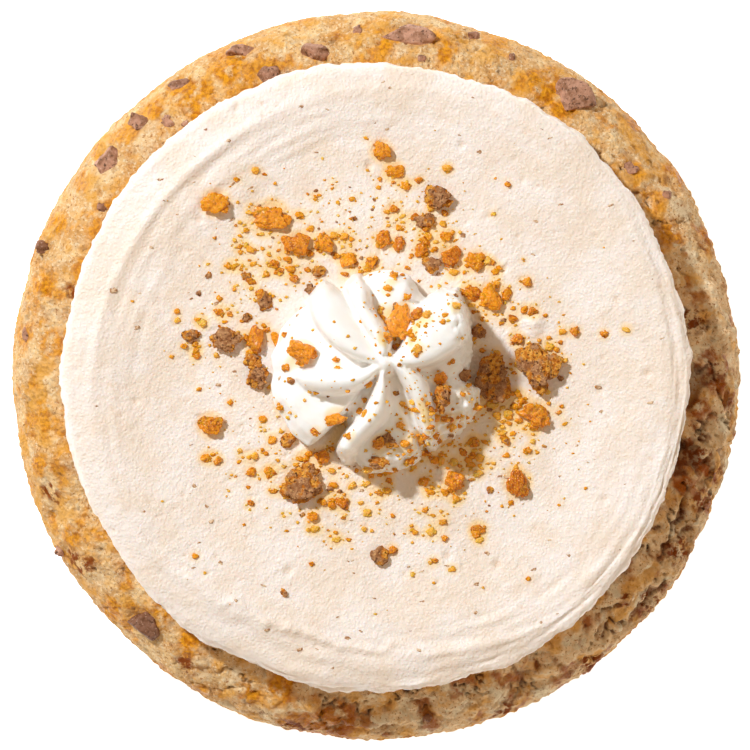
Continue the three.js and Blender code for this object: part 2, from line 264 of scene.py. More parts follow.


# %% [markdown]
# ## Finishes
# Each finish is one Principled shader whose colour, roughness and bump come from procedural nodes.
# A few masks that belong to the shape, such as how deep a place lies in a crack, are worked out with
# the geometry and stored on its points, because some colour follows form: cracks and torn hollows
# get painted shade, a darker colour that stands in for the shade that falls in them.

# %% Small helpers for node materials
def colour(hexadecimal):
    """A screen colour such as "f4e3d2" as the linear colour that shaders use."""
    parts = [int(hexadecimal[i : i + 2], 16) / 255 for i in (0, 2, 4)]
    return tuple(p / 12.92 if p <= 0.04045 else ((p + 0.055) / 1.055) ** 2.4 for p in parts) + (1.0,)


class Finish:
    """One material under construction: a Principled shader and the nodes that feed it."""

    def __init__(self, name, **settings):
        self.material = bpy.data.materials.new(name)
        self.material.use_nodes = True
        self.nodes = self.material.node_tree.nodes
        self.links = self.material.node_tree.links
        self.shader = self.nodes["Principled BSDF"]
        self.feed(**settings)
        self.place = self.add("TexCoord").outputs["Object"]

    def put(self, node, socket, value):
        """Links another node's output to a socket, or sets the socket to a number or a colour."""
        if isinstance(value, bpy.types.NodeSocket):
            self.links.new(value, node.inputs[socket])
        else:
            node.inputs[socket].default_value = colour(value) if isinstance(value, str) else value

    def fill(self, node, sockets):
        """Fills several sockets, named with _ for each space, and returns the node."""
        for socket, value in sockets.items():
            self.put(node, socket.replace("_", " "), value)
        return node

    def add(self, kind, **sockets):
        return self.fill(self.nodes.new("ShaderNode" + kind), sockets)

    def noise(self, width, detail=3.0, roughness=0.55):
        """Noise from 0 to 1, with features of a width in millimetres."""
        scale = 1 / (width * MM)
        node = self.add("TexNoise", Vector=self.place, Scale=scale, Detail=detail, Roughness=roughness)
        return node.outputs["Fac"]

    def grains(self, width):
        """Distance to the nearest of many scattered seeds, a width in millimetres apart."""
        return self.add("TexVoronoi", Vector=self.place, Scale=1 / (width * MM)).outputs["Distance"]

    def mask(self, name):
        node = self.add("Attribute")
        node.attribute_name = name
        return node.outputs["Fac"]

    def spread(self, value, low, high, to_low=0.0, to_high=1.0):
        """Maps low..high to to_low..to_high smoothly, and clamps the rest."""
        node = self.add("MapRange", Value=value, From_Min=low, From_Max=high, To_Min=to_low, To_Max=to_high)
        node.interpolation_type = "SMOOTHSTEP"
        return node.outputs["Result"]

    def reckon(self, operation, a, b):
        node = self.add("Math")
        node.operation = operation
        self.put(node, 0, a)
        self.put(node, 1, b)
        return node.outputs["Value"]

    def times(self, a, b):
        return self.reckon("MULTIPLY", a, b)

    def sum(self, a, b):
        return self.reckon("ADD", a, b)

    def blend(self, share, base, over):
        """Lays one colour over another, where share is 1."""
        node = self.add("Mix")
        node.data_type = "RGBA"
        self.put(node, "Factor", share)
        first, second = (at for at, socket in enumerate(node.inputs) if socket.type == "RGBA")
        self.put(node, first, base)
        self.put(node, second, over)
        return next(socket for socket in node.outputs if socket.type == "RGBA")

    def patches(self, width, detail, low, high, most=1.0, roughness=0.55):
        """Patches where noise of a width rises from low to high: 0 between them, most inside them."""
        return self.spread(self.noise(width, detail, roughness), low, high, 0, most)

    def mottle(self, base, over, *patch):
        """Lays one colour over another in patches, which are given by the same numbers."""
        return self.blend(self.patches(*patch), base, over)

    def tint(self, name, base, over, low, high, most=1.0):
        """Lays one colour over another where a mask rises from low to high."""
        return self.blend(self.spread(self.mask(name), low, high, 0, most), base, over)

    def ragged(self, name, *patch):
        """A mask that patches, given by the same numbers, break up."""
        return self.times(self.mask(name), self.patches(*patch))

    def bump(self, height, depth, under=None):
        """Raises the surface by depth in millimetres where height is 1."""
        node = self.add("Bump", Distance=depth * MM, Height=height)
        if under is not None:
            self.put(node, "Normal", under)
        return node.outputs["Normal"]

    def feed(self, **sockets):
        """Fills sockets of the shader and returns the material."""
        self.fill(self.shader, sockets)
        return self.material


def store_mask(piece, name, values):
    """Stores a number from 0 to 1 on each point of a piece, for its finish to read."""
    layer = piece.data.attributes.new(name, "FLOAT", "POINT")
    layer.data.foreach_set("value", np.clip(values, 0, 1).astype(np.float32))


def triangles(piece):
    return sum(len(face.vertices) - 2 for face in piece.data.polygons)


def dress(piece, material, slot, *nodes):
    """Gives a piece its material and its place on the cookie. The slot is not used."""
    piece.data.materials.append(material)
    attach(piece, "root")
    if nodes:
        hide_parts(*nodes)
    print(f"{piece.name}: {triangles(piece)} triangles")
    return piece


# %% [markdown]
# ## The baked cookie
# A thick cookie rises as a ball of dough that slumps: a flat base, a bulging side, a shoulder that
# rolls over, and an almost level top, hidden here under the frosting. The section below has those
# stages as shares of the radius and height. What makes it a cookie is its broken surface, so the
# section is sampled finely where it shows and every point is moved along its outward direction.

# %% The cookie's section and outline
COOKIE_SECTION = [
    (0, 0), (0.925, 0), (0.965, 0.05), (0.992, 0.2), (1, 0.42), (0.985, 0.62),
    (0.955, 0.8), (0.915, 0.93), (0.87, 1), (0.82, 1), (0, 1),
]
# The angle of each nick in the outline, its depth and its spread
NICKS = [(40, 0.3, 3), (72, 0.4, 6), (166, 0.3, 4), (300, 0.4, 5), (338, 0.3, 6)]
SWOLLEN = 0.25
COOKIE_STEPS = 900
CRUMB_SPACING = 0.36
CORNER_ROUNDING = 1.6
ON_THE_TRAY = 0.02
HIDDEN_IN_BASE = 51.5
HIDDEN_IN_SEAT = 45.5
ONE_HIDDEN_RING_IN = 28

section = np.array(COOKIE_SECTION) * (COOKIE_RADIUS, COOKIE_HEIGHT)
section = even_path(section, CRUMB_SPACING, CORNER_ROUNDING)
out, up = section.T
on_base = up < ON_THE_TRAY
shows = np.where(on_base, out > HIDDEN_IN_BASE, out > HIDDEN_IN_SEAT)
shows |= (up > ON_THE_TRAY) & (up < COOKIE_HEIGHT - 0.5)
wide_apart = np.arange(len(section)) % ONE_HIDDEN_RING_IN == ONE_HIDDEN_RING_IN // 2
section = section[1:-1][(shows | wide_apart)[1:-1]]
print("cookie rings:", len(section))

# %% Spread the section round the cookie
angle, circle = full_turn(COOKIE_STEPS)
degrees = np.degrees(angle)
heading = np.gradient(section, axis=0)
outward = np.stack([heading[:, 1], -heading[:, 0]], axis=1)
outward /= np.linalg.norm(outward, axis=1)[:, None]
nicked = sum(depth * near(degrees, at, spread) for at, depth, spread in NICKS)
outline = 1 + (SWOLLEN + 0.3 * layered_noise(circle * 30, 14, 2, 5) - nicked) / COOKIE_RADIUS

dough = spun(section[:, None, 0] * outline, section[:, None, 1], angle)
push = spun(outward[:, None, 0], outward[:, None, 1], angle)
turned_to = np.tile(degrees, len(section))

# %% [markdown]
# ### Lumps, pits and cracks
# The dough swelled into soft lumps as it baked. On the upper left it stayed fairly smooth, with fine
# granular crumb and a few pits. Towards the right and the lower right it tore open into irregular
# hollows. One mask, craggy, moves from one character to the other as it goes round. That side lies
# away from the lamp, and in the dough's colour the same mask paints light and shade onto it. The
# dough also draws back a little round each chocolate piece.

# %% Work out the broken surface
DEEPEST_HOLLOW = 1.1
DRAWN_BACK = 0.35
EVEN_LOSS = 0.15

craggy = 0.25 + 0.75 * near(turned_to, 335, 60) + 0.3 * near(turned_to, 265, 32)
bent = dough + 1.5 * np.stack([layered_noise(dough, 3.4, 2, seed) for seed in (61, 62, 63)], axis=1)

lumps = layered_noise(dough, 11, 2, 11)
knobs = layered_noise(bent, 4.2, 3, 13)
hollows = ramp(layered_noise(bent, 7.0, 3, 17), 0.2, 0.5)
nearest, second, _ = nearest_seeds(bent, 1.5, 23)
granules = ramp(second - nearest, 0.0, 0.5) - 0.6
sandy = layered_noise(dough, 0.9, 1, 31)
pits = scattered_pits(bent, 2.4, 37, 0.3, 0.1, 0.5)
splits = ramp(np.abs(layered_noise(bent, 7.5, 3, 43)), 0.07, 0.0)
splits *= ramp(layered_noise(dough, 7, 1, 47) + 0.5 * craggy, 0.25, 0.6)

bare = np.ones(len(dough))
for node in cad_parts:
    if node.startswith("chocolate_piece"):
        low, high = (np.array(corner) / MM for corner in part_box(node))
        away = np.linalg.norm((dough - (low + high) / 2) / (high - low + 1.2) * 2, axis=1)
        bare *= ramp(away, 0.7, 1.15)

calm = 1 - 0.65 * ramp(dough[:, 2], 12.5, 9.5)
sunk = DEEPEST_HOLLOW * (craggy - 0.15) * hollows + 0.6 * pits + (0.2 + 1.3 * craggy) * splits
raised = calm * (0.9 * lumps * (0.45 + craggy) + 0.8 * knobs * (0.15 + craggy))
raised += (0.15 + 0.15 * craggy) * granules + 0.12 * sandy
sunk *= calm
off_base = ramp(dough[:, 2], 0.2, 2.2)
from_middle = np.hypot(dough[:, 0], dough[:, 1])
on_seat = (dough[:, 2] > COOKIE_HEIGHT - 0.6) & (from_middle < FROSTING_RADIUS)
off_seat = np.where(on_seat, ramp(from_middle, HIDDEN_IN_SEAT, FROSTING_RADIUS), 1)
moved = (raised * bare - sunk - EVEN_LOSS - DRAWN_BACK * (1 - bare)) * off_base * off_seat
dough += push * moved[:, None]
dough[:, 2] = np.maximum(dough[:, 2], 0)

# %% Make the cookie
middles = np.array([[0, 0, 0], [0, 0, COOKIE_HEIGHT]], float)
faces = ring_faces(len(section), COOKIE_STEPS)
everywhere = np.vstack([dough, middles])
cookie = new_piece("cookie_dough", everywhere, faces)
walked = way_along(section)
lay_out_as_disc(cookie, len(section), COOKIE_STEPS, 1 - 0.97 * walked / walked[-1])

# %% [markdown]
# ### Browning
# Sugar browns first: melted toffee lies in amber patches over the rim, and the lowest edge is darker,
# where it met the tray. The places of the largest patches are read from the reference view. Between
# them, noise spreads smaller ones.

# %% Where the dough is caramelised or browned, and where cracks and torn hollows get painted shade
# The x, y and radius of each patch
CARAMEL_PATCHES = [
    (-28.8, -41.3, 2.6), (-33.5, -36.9, 2.2), (-41.0, -36.6, 2.0), (-51.7, 14.2, 2.6), (-52.5, -13.9, 1.8),
    (-47.2, -25.0, 1.8), (-7.5, -54.7, 4.4), (-19.7, -49.4, 1.8), (50.1, -5.1, 2.0), (-23.0, 48.0, 3.4),
    (-28.4, 43.6, 3.4), (-9.0, 47.8, 2.6), (-34.4, 41.8, 2.0), (-40.4, 25.2, 2.4), (45.8, 38.4, 2.2),
    (26.6, 45.2, 3.2), (10.4, 50.8, 2.2), (-49.6, 23.6, 2.0), (1.6, 52.4, 1.8), (40.6, 39.8, 1.8),
    (46.8, 31.4, 2.4), (52.0, 21.4, 2.0), (45.4, 22.0, 2.2), (53.0, -1.6, 1.6), (51.6, -15.0, 1.8),
    (29.2, 41.4, 2.2), (-14.8, -49.0, 2.8), (48.2, -17.0, 1.6),
]
BROWNED_PATCHES = [
    (-45.9, -29.1, 2.4), (-29.0, -44.9, 1.8), (49.6, 8.8, 2.2), (49.4, -12.0, 2.6), (53.4, -15.4, 1.8),
    (46.9, -27.2, 2.4), (42.4, -35.6, 2.2), (38.6, -35.2, 1.4), (33.8, -44.7, 2.2), (-47.2, 12.6, 1.6),
    (50.6, -19.6, 2.0), (20.0, -52.8, 2.0), (-13.0, -54.6, 2.2), (52.7, 0.9, 1.8), (-50.6, -18.0, 1.6),
]


# Radii at which the shoulder is known, and its level there
SHOULDER_FALL = ([48, 52, 55, 57.3], [17, 15.5, 12.5, 8])


def patches(places, spots, seed):
    """1 inside ragged round patches on the shoulder, each given by its x, y and radius."""
    ragged = layered_noise(places, 2.2, 3, seed)
    total = np.zeros(len(places))
    for x, y, radius in spots:
        level = np.interp(math.hypot(x, y), *SHOULDER_FALL)
        away = np.linalg.norm((places - (x, y, level)) * (1, 1, 0.5), axis=1) / radius
        total = np.maximum(total, ramp(away + 0.6 * ragged, 1.4, 0.6))
    return total


scattered = layered_noise(everywhere, 5, 4, 71) + 0.24 * near(and_middles(turned_to), 128, 75)
caramel = np.maximum(patches(everywhere, CARAMEL_PATCHES, 73), 0.85 * ramp(scattered, 0.26, 0.56))
low_edge = ramp(everywhere[:, 2] + 1.4 * layered_noise(everywhere, 4, 3, 83), 3.4, 0.4)
# Painted shade: the torn hollows on the craggy side are painted dark brown, mixed into the mask of real
# browning.
hollow_shade = and_middles(craggy * hollows) * ramp(layered_noise(everywhere, 4, 2, 89), -0.3, 0.3)
hollow_shade *= ramp(everywhere[:, 2], 7, 11)
browning_and_hollow_shade = np.maximum(patches(everywhere, BROWNED_PATCHES, 79), np.maximum(0.8 * low_edge, hollow_shade))
store_mask(cookie, "caramel", caramel)
store_mask(cookie, "browning_and_hollow_shade", browning_and_hollow_shade)
store_mask(cookie, "crevice", and_middles(sunk / DEEPEST_HOLLOW))
store_mask(cookie, "craggy", and_middles(craggy))

# %% The dough's finish
baked = Finish("baked_dough", Roughness=0.82, Specular_IOR_Level=0.18)
golden = baked.mottle("e6aa64", "fbcf90", 4.0, 3, 0.36, 0.64)
# Painted light: the dough on the craggy, shaded side is painted paler to lift it out of its shade.
painted_light_on_shaded_side = baked.tint("craggy", golden, "ffd6a2", 0.4, 0.85, 0.85)
# Painted highlight: cream-coloured patches on the craggy side stand in for the lit tops of its lumps.
painted_lit_lump_tops = baked.blend(baked.ragged("craggy", 3.0, 3, 0.5, 0.62), painted_light_on_shaded_side, "ffe8c0")
sanded = baked.mottle(painted_lit_lump_tops, "ffe4b8", 0.45, 3, 0.5, 0.64, 0.8, 0.65)
speckled = baked.mottle(sanded, "ba7028", 0.5, 3, 0.57, 0.66, 0.8, 0.6)
buttery = baked.mottle(speckled, "f2a834", 4.2, 4, 0.48, 0.64, 0.7)
ragged_caramel = baked.ragged("caramel", 2.6, 4, 0.34, 0.5)
amber_tone = baked.mottle("f6a41c", "d07c10", 0.8, 4, 0.42, 0.62)
# Painted shade: the amber patches on the craggy, shaded side are painted deeper and browner.
amber_with_painted_shade = baked.tint("craggy", amber_tone, "a84e02", 0.5, 0.85, 0.85)
smeared = baked.blend(ragged_caramel, buttery, amber_with_painted_shade)
# Real browning and the painted shade of the torn hollows, both in deep brown.
toasted_and_hollow_shaded = baked.blend(baked.ragged("browning_and_hollow_shade", 1.5, 5, 0.42, 0.56, 1.0, 0.6), smeared, "944606")
# Painted shade: cracks and hollows are darkened towards deep brown, the more the deeper they lie.
shaded = baked.tint("crevice", toasted_and_hollow_shaded, "6e3406", 0.3, 0.9, 0.75)
sandy_bump = baked.bump(baked.noise(0.34, 4, 0.7), 0.44)
baked_dough = baked.feed(
    Base_Color=shaded,
    Normal=baked.bump(baked.grains(0.7), 0.22, sandy_bump),
    Roughness=baked.spread(ragged_caramel, 0.2, 0.8, 0.85, 0.32),
)
dress(cookie, baked_dough, "baked_dough", "cookie")

# %% [markdown]
# ## The frosting disc
# Whipped frosting was spread with a spatula into a thick disc: an upright wall, a tight shoulder, a
# gentle slope up to a low lip, and a dished top. The slope is wide on the upper left and along the
# bottom, and narrow at the lower right. The surface is never smooth: it has fine pits from air
# bubbles and furrows where the spatula dragged.

# %% The frosting's section
FROSTING_STEPS = 760
SITS_AT = COOKIE_HEIGHT - 0.15
UNDER_ROSETTE = 13.0
WALL_LEAN = 0.3
TUCKED_UNDER = 0.9
DISH_STARTS = -0.12


def bevel_width(at):
    """How far the slope of the edge reaches in, at an angle in degrees."""
    return 3.0 + 2.6 * near(at, 140, 55) + 3.7 * near(at, 255, 38) - 1.0 * near(at, 318, 30)


angle, circle = full_turn(FROSTING_STEPS)
degrees = np.degrees(angle)
edge = FROSTING_RADIUS + 0.35 * layered_noise(circle * 40, 16, 3, 101)
bevel = bevel_width(degrees)
lip = FROSTING_LIP + 0.35 * layered_noise(circle * 40, 26, 2, 103) - 0.3 * near(degrees, 255, 40)
widest = COOKIE_HEIGHT + 1.6
slope = np.radians(9 + 4 * near(degrees, 255, 60))
shoulder = 1.4 - 0.8 * near(degrees, 345, 65)
slope_from = edge - WALL_LEAN - shoulder * (1 - np.sin(slope))
slope_rise = (slope_from - edge + bevel) * np.tan(slope)
wall_top = lip - slope_rise - shoulder * np.cos(slope)

rings = [(edge * share, 0 * edge + SITS_AT) for share in (0.25, 0.5, 0.75, 0.9)]
for turn in np.linspace(0, 1, 7):
    tucked = TUCKED_UNDER * (1 - np.sin(turn * TURN / 4))
    rings.append((edge - tucked, SITS_AT + (widest - SITS_AT) * turn + 0 * edge))
for rise in np.linspace(0, 1, 13)[1:]:
    rings.append((edge - WALL_LEAN * rise, widest + (wall_top - widest) * rise))
for turn in np.linspace(0, 1, 9)[1:]:
    rounded = turn * (TURN / 4 - slope)
    out = edge - WALL_LEAN - shoulder * (1 - np.cos(rounded))
    rings.append((out, wall_top + shoulder * np.sin(rounded)))
for inwards in np.linspace(0, 1, 11)[1:]:
    out = slope_from + (edge - bevel - slope_from) * inwards
    rings.append((out, lip - slope_rise * (1 - inwards)))
at_lip = ramp(0.0, DISH_STARTS, 1.0)
for inwards in np.linspace(0, 1, 40)[1:]:
    settled = (ramp(inwards, DISH_STARTS, 1.0) - at_lip) / (1 - at_lip)
    rings.append((edge - bevel - DISH_SLOPE * inwards, lip + (FROSTING_MIDDLE - lip) * settled))
inner = rings[-1][0]
for inwards in np.linspace(0, 1, 36)[1:]:
    rings.append((inner + (UNDER_ROSETTE - inner) * inwards, 0 * edge + FROSTING_MIDDLE))
rings += [(0 * edge + out, 0 * edge + FROSTING_MIDDLE) for out in (9.0, 5.0)]
radius, height = (np.array(values) for values in zip(*rings))
print("frosting rings:", len(rings))

# %% Spread it round, and find which way each place faces
cream = spun(radius, height, angle)
inwards, upwards = np.gradient(radius, axis=0), np.gradient(height, axis=0)
length = np.hypot(inwards, upwards) + 1e-9
push = spun(upwards / length, -inwards / length, angle)
turned_to = np.tile(degrees, len(rings))
from_middle = np.hypot(cream[:, 0], cream[:, 1])
on_wall = 1 - ramp(push[:, 2], 0.35, 0.85)

# %% [markdown]
# ### Drag marks and pits
# Drag marks run with the spatula, so their noise is drawn out: on the wall and next to it they
# follow the edge round, and on the top they run in one slanting direction, like the weave of linen.

# %% The frosting's relief
WEAVE_TURNED = math.radians(36)
walked = way_along(np.stack([radius.mean(axis=1), height.mean(axis=1)], axis=1))
wrapped = np.tile(40 * circle[:, :2], (len(rings), 1))
unrolled = np.hstack([wrapped, np.repeat(walked, FROSTING_STEPS)[:, None]])


def drawn_noise(round_it, across, layers, seed):
    """Noise with features so many millimetres long round the disc, and so many across."""
    return layered_noise(unrolled / (round_it, round_it, across), 1, layers, seed)


drag = drawn_noise(9, 1.5, 3, 113)
furrows = drawn_noise(16, 2.4, 2, 157)
strokes = drawn_noise(1.6, 9, 2, 127)
swell = layered_noise(cream * (1, 1, 0.4), 15, 2, 131)
x, y, z = cream.T
with_weave = np.stack([
    (x * math.cos(WEAVE_TURNED) + y * math.sin(WEAVE_TURNED)) / 1.8,
    y * math.cos(WEAVE_TURNED) - x * math.sin(WEAVE_TURNED),
    z,
], axis=1)
woven = layered_noise(with_weave, 1.3, 2, 137)
pits = scattered_pits(cream, 1.9, 139, 0.34, 0.1, 0.25)
big_pits = scattered_pits(cream, 6.0, 149, 0.16, 0.05, 0.35)

dragged = 1.5 * near(turned_to, 262, 48) * ramp(from_middle, 38, 43)
dragged += near(turned_to, 350, 40) * ramp(from_middle, 42, 46)
dragged += 0.8 * near(turned_to, 135, 50) * ramp(from_middle, 33, 37) * ramp(from_middle, 44, 40)
lip_at = FROSTING_RADIUS - 0.6 - bevel_width(turned_to)
ridge = near(turned_to, 138, 32) * np.exp(-(((from_middle - lip_at) / 0.7) ** 2))
fold_at = lip_at + 1.3 * layered_noise(cream, 7, 3, 167)
fold = near(turned_to, 250, 24) * np.exp(-(((from_middle - fold_at) / 0.6) ** 2))
fold *= 1 + layered_noise(cream, 2.4, 2, 171)
COVERED_LUMP = (24.4, 7.8)
to_lump = np.hypot(cream[:, 0] - COVERED_LUMP[0], cream[:, 1] - COVERED_LUMP[1])
relief = (
    0.26 * swell * ramp(from_middle, 8, 24)
    + 0.06 * woven
    - 0.14 * pits
    - 0.35 * big_pits
    + 0.4 * ridge
    + 0.5 * fold
    + (0.34 * furrows + 0.2 * drag) * dragged
    + on_wall * (0.34 * drag + 0.18 * strokes + 0.3 * swell)
    + (1 - on_wall) * 0.06 * drag * ramp(from_middle, 26, 42)
    + (0.45 + 0.5 * layered_noise(cream, 1.3, 1, 163)) * ramp(to_lump, 2.2, 0.6)
)
relief *= ramp(cream[:, 2], SITS_AT + 0.1, SITS_AT + 1.2)
cream += push * relief[:, None]
ragged = (0.1 + 0.22 * on_wall) * layered_noise(cream * (1, 1, 0.5), 4.1, 4, 151)
ragged += 0.16 * on_wall * layered_noise(cream, 0.9, 2, 173)
cream[:, :2] *= (1 + ragged * ramp(from_middle, 44, 47) / FROSTING_RADIUS)[:, None]

# %% Make the frosting
middles = np.array([[0, 0, SITS_AT], [0, 0, FROSTING_MIDDLE]], float)
faces = ring_faces(len(rings), FROSTING_STEPS)
frosting = new_piece("frosting_disc", np.vstack([cream, middles]), faces)
reach = np.interp(walked, [0, walked[4], walked[-1]], [1, 0.93, 0.02])
lay_out_as_disc(frosting, len(rings), FROSTING_STEPS, reach)
store_mask(frosting, "pit_shade_mask", and_middles(pits + big_pits))

# %% The frosting's finish
frosted = Finish(
    "spread_frosting", Roughness=0.5, Subsurface_Weight=0.2, Subsurface_Radius=(0.9, 0.6, 0.4),
    Subsurface_Scale=0.7 * MM, Specular_IOR_Level=0.4,
)
even = frosted.mottle("f0ddc9", "f5e7da", 6, 3, 0.35, 0.65)
dotted = frosted.mottle(even, "e6c8a4", 1.1, 3, 0.64, 0.76, 0.4)
# Painted shade: the pits are painted a darker beige.
pits_painted_shade = frosted.tint("pit_shade_mask", dotted, "dcb891", 0.3, 1.0, 0.35)
stained = frosted.tint("stained", pits_painted_shade, "f9cf82", 0.05, 1.0, 0.85)
grainy = frosted.bump(frosted.noise(0.7, 3, 0.6), 0.14)
beads = frosted.spread(frosted.grains(0.5), 0.0, 0.7, 1.0, 0.0)
spread_frosting = frosted.feed(Base_Color=stained, Normal=frosted.bump(beads, 0.055, grainy))
dress(frosting, spread_frosting, "frosting", "frosting")

# %% [markdown]
# ## The piped rosette
# A star tip leaves petals: long ridges with rounded crests that meet in the middle, over broad lobes
# that lie lower. Each petal is described as seen from above, by its left and right edges from the
# middle to its tip, with the height of its crest. Joined as they are, the petals would show seams,
# so the whole is remeshed into one skin of tiny cubes and smoothed, which rounds the crests and
# keeps the valleys. Where the cream tore away, on the right and below, its edge is frayed.

# %% The petals and the lobes under them
HEART = (0.8, 1.4)
PETALS = [
    {
        "left": [(0.0, 1.6), (-4.6, 3.6), (-7.6, 6.0), (-9.4, 9.4), (-9.3, 12.0), (-7.8, 14.2)],
        "right": [(1.0, 3.6), (-1.2, 6.0), (-3.2, 9.0), (-5.0, 11.6), (-6.4, 13.2), (-7.6, 14.3)],
        "crest": [13.0, 13.4, 13.0, 12.2, 11.0, 9.4], "crest_at": -0.45, "fall": 2.6,
    },
    {
        "left": [(0.6, 3.0), (-0.4, 5.2), (-2.2, 8.0), (-3.5, 11.0), (-4.1, 13.2), (-3.3, 14.9)],
        "right": [(2.2, 3.4), (2.4, 5.6), (1.2, 8.0), (-0.4, 10.4), (-0.9, 13.0), (-2.2, 15.1)],
        "crest": [13.4, 13.6, 13.2, 12.2, 11.0, 9.6], "crest_at": -0.15, "fall": 2.2,
    },
    {
        "left": [(2.2, 2.8), (4.0, 4.8), (5.2, 7.6), (7.4, 10.4), (10.0, 12.3), (12.0, 13.0)],
        "right": [(3.0, 1.5), (6.6, 1.4), (10.2, 2.8), (13.0, 5.4), (13.4, 9.2), (12.3, 12.8)],
        "crest": [13.0, 13.6, 13.8, 13.4, 12.6, 11.2], "crest_at": 0.3, "fall": 1.5,
    },
    {
        "left": [(2.4, 2.6), (5.2, 1.4), (7.6, -0.6), (8.6, -3.4), (9.0, -7.0), (9.4, -10.6)],
        "right": [(1.8, 2.2), (3.2, 0.2), (4.6, -2.4), (5.8, -5.4), (7.0, -8.6), (8.2, -11.3)],
        "crest": [13.0, 13.2, 12.8, 11.8, 10.4, 8.6], "crest_at": 0.0, "fall": 1.9,
    },
    {
        "left": [(1.8, 0.4), (2.3, -3.4), (1.8, -6.4), (-0.4, -8.9), (-2.4, -11.0), (-3.2, -13.0)],
        "right": [(0.6, 0.6), (-0.6, -2.8), (-2.0, -5.8), (-4.0, -8.0), (-5.5, -10.8), (-4.8, -13.0)],
        "crest": [12.8, 13.0, 12.6, 11.6, 10.0, 8.2], "crest_at": 0.1, "fall": 2.2,
    },
    {
        "left": [(0.8, 0.6), (-1.4, -1.6), (-4.4, -2.8), (-7.8, -2.9), (-10.8, -2.0), (-12.7, -0.3)],
        "right": [(0.4, 2.0), (-2.6, 0.9), (-5.6, 0.95), (-8.6, 1.2), (-11.0, 0.9), (-12.8, 0.1)],
        "crest": [12.8, 13.2, 12.8, 12.0, 10.8, 9.2], "crest_at": 0.1, "fall": 2.2,
    },
]
LOBE_OUTLINE = [
    (14.6, 6.0), (14.5, 2.1), (14.0, 0.9), (13.4, -0.2), (14.4, -1.3), (15.8, -2.0), (15.9, -4.2),
    (14.6, -6.6), (12.2, -9.2), (9.6, -10.0), (7.2, -10.4), (6.7, -12.9), (5.1, -13.9), (1.7, -14.7),
    (-1.2, -14.9), (-2.8, -13.4), (-3.8, -9.0), (-4.4, -6.0), (-5.8, -7.1), (-8.5, -9.6), (-10.2, -10.9),
    (-12.9, -8.8), (-14.1, -6.6), (-15.6, -4.2), (-16.05, -1.6), (-15.6, 0.6), (-16.05, 3.0),
    (-15.1, 4.8), (-14.6, 7.0), (-13.1, 8.7), (-11.2, 10.4), (-9.2, 11.0), (-6.0, 12.0), (-4.0, 12.4),
    (-2.6, 14.6), (-0.5, 15.9), (2.7, 16.2), (5.1, 15.5), (6.6, 13.0), (8.4, 10.6), (11.6, 9.4),
    (13.6, 8.4),
]
LOBE_TOP = 8.6
LOBE_FALL = 2.2
LOBE_FOOT = 1.6
BELOW = -0.8
TINY_CUBE = 0.25
MEETING = {"middle": (1.3, 2.0, 8.2), "size": (2.4, 2.4, 4.9)}


def smooth_line(points, count):
    """A smooth line through points, as a number of places along it."""
    points = np.array(points, float).reshape(len(points), -1)
    stops = np.linspace(0, len(points) - 1, count)
    at = np.minimum(stops.astype(int), len(points) - 2)
    share = (stops - at)[:, None]
    ends = 2 * points[0] - points[1], 2 * points[-1] - points[-2]
    a, b, c, d = (np.vstack([ends[0], points, ends[1]])[at + k] for k in range(4))
    bend = (2 * a - 5 * b + 4 * c - d) * share**2 + (3 * b - a - 3 * c + d) * share**3
    return 0.5 * (2 * b + (c - a) * share + bend)


def grid_faces(corner):
    """Quads of a grid of places, from the numbers of the places, row by row."""
    quads = np.stack([corner[:-1, :-1], corner[:-1, 1:], corner[1:, 1:], corner[1:, :-1]], axis=2)
    return [tuple(quad) for quad in quads.reshape(-1, 4).tolist()]


def petal_shell(petal, rows=48, columns=21):
    """A closed shell: a rounded top with the shape of the petal, over a wider, flat underside."""
    left, right = smooth_line(petal["left"], rows), smooth_line(petal["right"], rows)
    across = np.linspace(-1, 1, columns)
    flat = left[:, None] + (right - left)[:, None] * ((across + 1) / 2)[:, None]
    lean = (across - petal["crest_at"]) / (1 + abs(petal["crest_at"]))
    top = smooth_line(petal["crest"], rows) - petal["fall"] * lean**2 - 0.9 * np.abs(across) ** 6
    top -= 3.2 * ramp(np.linspace(0, 1, rows), 0.74, 1.0)[:, None] ** 2
    upper = np.dstack([flat, top]).reshape(-1, 3)
    middle_line = ((left + right) / 2)[:, None]
    wider = flat + 0.3 * (flat - middle_line) + 0.06 * (flat - HEART)
    lower = np.dstack([wider, 0 * top + BELOW]).reshape(-1, 3)
    count = rows * columns
    corner = np.arange(count).reshape(rows, columns)
    edge = np.concatenate([corner[0], corner[1:, -1], corner[-1, -2::-1], corner[-2:0:-1, 0]]).tolist()
    faces = grid_faces(corner)
    faces += [tuple(reversed(face)) for face in grid_faces(corner + count)]
    faces += [(b, a, a + count, b + count) for a, b in zip(edge, edge[1:] + edge[:1])]
    return np.vstack([upper, lower]), faces


def lobes_shell(steps=256, shares=(0.15, 0.3, 0.45, 0.6, 0.72, 0.82, 0.9, 0.96, 1.0)):
    """The broad lobes as one closed shell: high where the outline bulges, low towards its notches."""
    outline = np.array(LOBE_OUTLINE) - HEART
    at = np.arctan2(outline[:, 1], outline[:, 0])
    angle, _ = full_turn(steps)
    reach = np.interp(angle, at, np.hypot(*outline.T), period=TURN)
    bulge = ramp(reach, 11.0, 15.5)
    rings = [(0.94 * reach, 0 * angle + BELOW), (reach, 0 * angle + LOBE_FOOT)]
    for share in reversed(shares):
        valley = (1.6 * (1 - bulge) + 0.5) * share
        rounded_off = 2.2 * ramp(share, 0.8, 1.0) ** 2
        rings.append((share * reach, LOBE_TOP - LOBE_FALL * share**2 - valley - rounded_off))
    out, up = (np.array(values) for values in zip(*rings))
    middles = [[0, 0, BELOW], [0, 0, LOBE_TOP]]
    return np.vstack([spun(out, up, angle), middles]) + (*HEART, 0), ring_faces(len(rings), steps)


